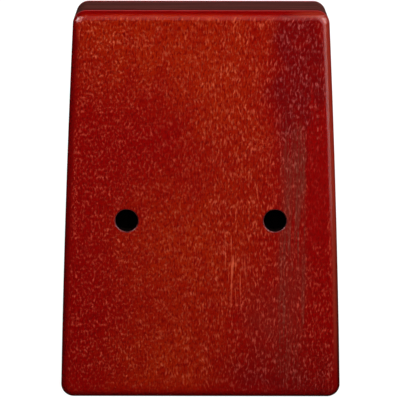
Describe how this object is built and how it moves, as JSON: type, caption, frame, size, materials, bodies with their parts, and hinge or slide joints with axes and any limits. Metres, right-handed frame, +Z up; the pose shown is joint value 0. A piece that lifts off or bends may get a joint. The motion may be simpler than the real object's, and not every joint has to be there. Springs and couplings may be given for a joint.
{
  "type": "kalimba",
  "caption": "Hollow wooden thumb piano standing on its tail end: sprung steel tines clamped over a bridge on the soundboard, round sound hole in front, small holes in the back.",
  "frame": {"origin": "centre of the tail end face, which the body stands on", "axes": "+Z up from the tail to the head, -Y out of the back, +Y out of the soundboard towards the tines, +X to the right when the back is seen"},
  "size_m": [0.1324, 0.0545, 0.185],
  "materials": {
    "back_wood": "gloss lacquer",
    "front_wood": "gloss lacquer",
    "rim_wood": "satin lacquer",
    "saddle_wood": "satin oil",
    "brace_wood": "raw",
    "rod_steel": "ground",
    "bar_steel": "ground",
    "screw_steel": "turned",
    "insert_brass": "turned",
    "tine_steel": "ground"
  },
  "bodies": {
    "box": {"back_board": "back_wood", "rim_frame": "rim_wood", "soundboard": "front_wood", "saddle_block": "saddle_wood", "front_bridge_rod": "rod_steel", "rear_bridge_rod": "rod_steel", "pressure_bar": "bar_steel", "clamp_screws": "screw_steel", "bridge_brace": "brace_wood", "threaded_inserts": "insert_brass"},
    "tine_c4": {"tine_c4": "tine_steel"},
    "tine_d4": {"tine_d4": "tine_steel"},
    "tine_e4": {"tine_e4": "tine_steel"},
    "tine_f4": {"tine_f4": "tine_steel"},
    "tine_g4": {"tine_g4": "tine_steel"},
    "tine_a4": {"tine_a4": "tine_steel"},
    "tine_b4": {"tine_b4": "tine_steel"},
    "tine_c5": {"tine_c5": "tine_steel"},
    "tine_d5": {"tine_d5": "tine_steel"},
    "tine_e5": {"tine_e5": "tine_steel"},
    "tine_f5": {"tine_f5": "tine_steel"},
    "tine_g5": {"tine_g5": "tine_steel"},
    "tine_a5": {"tine_a5": "tine_steel"},
    "tine_b5": {"tine_b5": "tine_steel"},
    "tine_c6": {"tine_c6": "tine_steel"},
    "tine_d6": {"tine_d6": "tine_steel"},
    "tine_e6": {"tine_e6": "tine_steel"}
  },
  "joints": [
    {"name": "tine_c4_flex", "type": "hinge", "parent": "box", "child": "tine_c4", "pos_m": [0, 0.028, 0.138], "axis": [-1, 0, 0], "range_deg": [-2, 2], "stiffness_Nm_per_rad": 3},
    {"name": "tine_d4_flex", "type": "hinge", "parent": "box", "child": "tine_d4", "pos_m": [0.0058, 0.028, 0.138], "axis": [-1, 0, 0], "range_deg": [-2, 2], "stiffness_Nm_per_rad": 3.178},
    {"name": "tine_e4_flex", "type": "hinge", "parent": "box", "child": "tine_e4", "pos_m": [-0.0058, 0.028, 0.138], "axis": [-1, 0, 0], "range_deg": [-2, 2], "stiffness_Nm_per_rad": 3.367},
    {"name": "tine_f4_flex", "type": "hinge", "parent": "box", "child": "tine_f4", "pos_m": [0.0116, 0.028, 0.138], "axis": [-1, 0, 0], "range_deg": [-2, 2], "stiffness_Nm_per_rad": 3.466},
    {"name": "tine_g4_flex", "type": "hinge", "parent": "box", "child": "tine_g4", "pos_m": [-0.0116, 0.028, 0.138], "axis": [-1, 0, 0], "range_deg": [-2, 2], "stiffness_Nm_per_rad": 3.672},
    {"name": "tine_a4_flex", "type": "hinge", "parent": "box", "child": "tine_a4", "pos_m": [0.0174, 0.028, 0.138], "axis": [-1, 0, 0], "range_deg": [-2, 2], "stiffness_Nm_per_rad": 3.891},
    {"name": "tine_b4_flex", "type": "hinge", "parent": "box", "child": "tine_b4", "pos_m": [-0.0174, 0.028, 0.138], "axis": [-1, 0, 0], "range_deg": [-2, 2], "stiffness_Nm_per_rad": 4.122},
    {"name": "tine_c5_flex", "type": "hinge", "parent": "box", "child": "tine_c5", "pos_m": [0.0232, 0.028, 0.138], "axis": [-1, 0, 0], "range_deg": [-2, 2], "stiffness_Nm_per_rad": 4.243},
    {"name": "tine_d5_flex", "type": "hinge", "parent": "box", "child": "tine_d5", "pos_m": [-0.0232, 0.028, 0.138], "axis": [-1, 0, 0], "range_deg": [-2, 2], "stiffness_Nm_per_rad": 4.495},
    {"name": "tine_e5_flex", "type": "hinge", "parent": "box", "child": "tine_e5", "pos_m": [0.029, 0.028, 0.138], "axis": [-1, 0, 0], "range_deg": [-2, 2], "stiffness_Nm_per_rad": 4.762},
    {"name": "tine_f5_flex", "type": "hinge", "parent": "box", "child": "tine_f5", "pos_m": [-0.029, 0.028, 0.138], "axis": [-1, 0, 0], "range_deg": [-2, 2], "stiffness_Nm_per_rad": 4.902},
    {"name": "tine_g5_flex", "type": "hinge", "parent": "box", "child": "tine_g5", "pos_m": [0.0348, 0.028, 0.138], "axis": [-1, 0, 0], "range_deg": [-2, 2], "stiffness_Nm_per_rad": 5.193},
    {"name": "tine_a5_flex", "type": "hinge", "parent": "box", "child": "tine_a5", "pos_m": [-0.0348, 0.028, 0.138], "axis": [-1, 0, 0], "range_deg": [-2, 2], "stiffness_Nm_per_rad": 5.502},
    {"name": "tine_b5_flex", "type": "hinge", "parent": "box", "child": "tine_b5", "pos_m": [0.0406, 0.028, 0.138], "axis": [-1, 0, 0], "range_deg": [-2, 2], "stiffness_Nm_per_rad": 5.829},
    {"name": "tine_c6_flex", "type": "hinge", "parent": "box", "child": "tine_c6", "pos_m": [-0.0406, 0.028, 0.138], "axis": [-1, 0, 0], "range_deg": [-2, 2], "stiffness_Nm_per_rad": 6},
    {"name": "tine_d6_flex", "type": "hinge", "parent": "box", "child": "tine_d6", "pos_m": [0.0464, 0.028, 0.138], "axis": [-1, 0, 0], "range_deg": [-2, 2], "stiffness_Nm_per_rad": 6.357},
    {"name": "tine_e6_flex", "type": "hinge", "parent": "box", "child": "tine_e6", "pos_m": [-0.0464, 0.028, 0.138], "axis": [-1, 0, 0], "range_deg": [-2, 2], "stiffness_Nm_per_rad": 6.735}
  ]
}
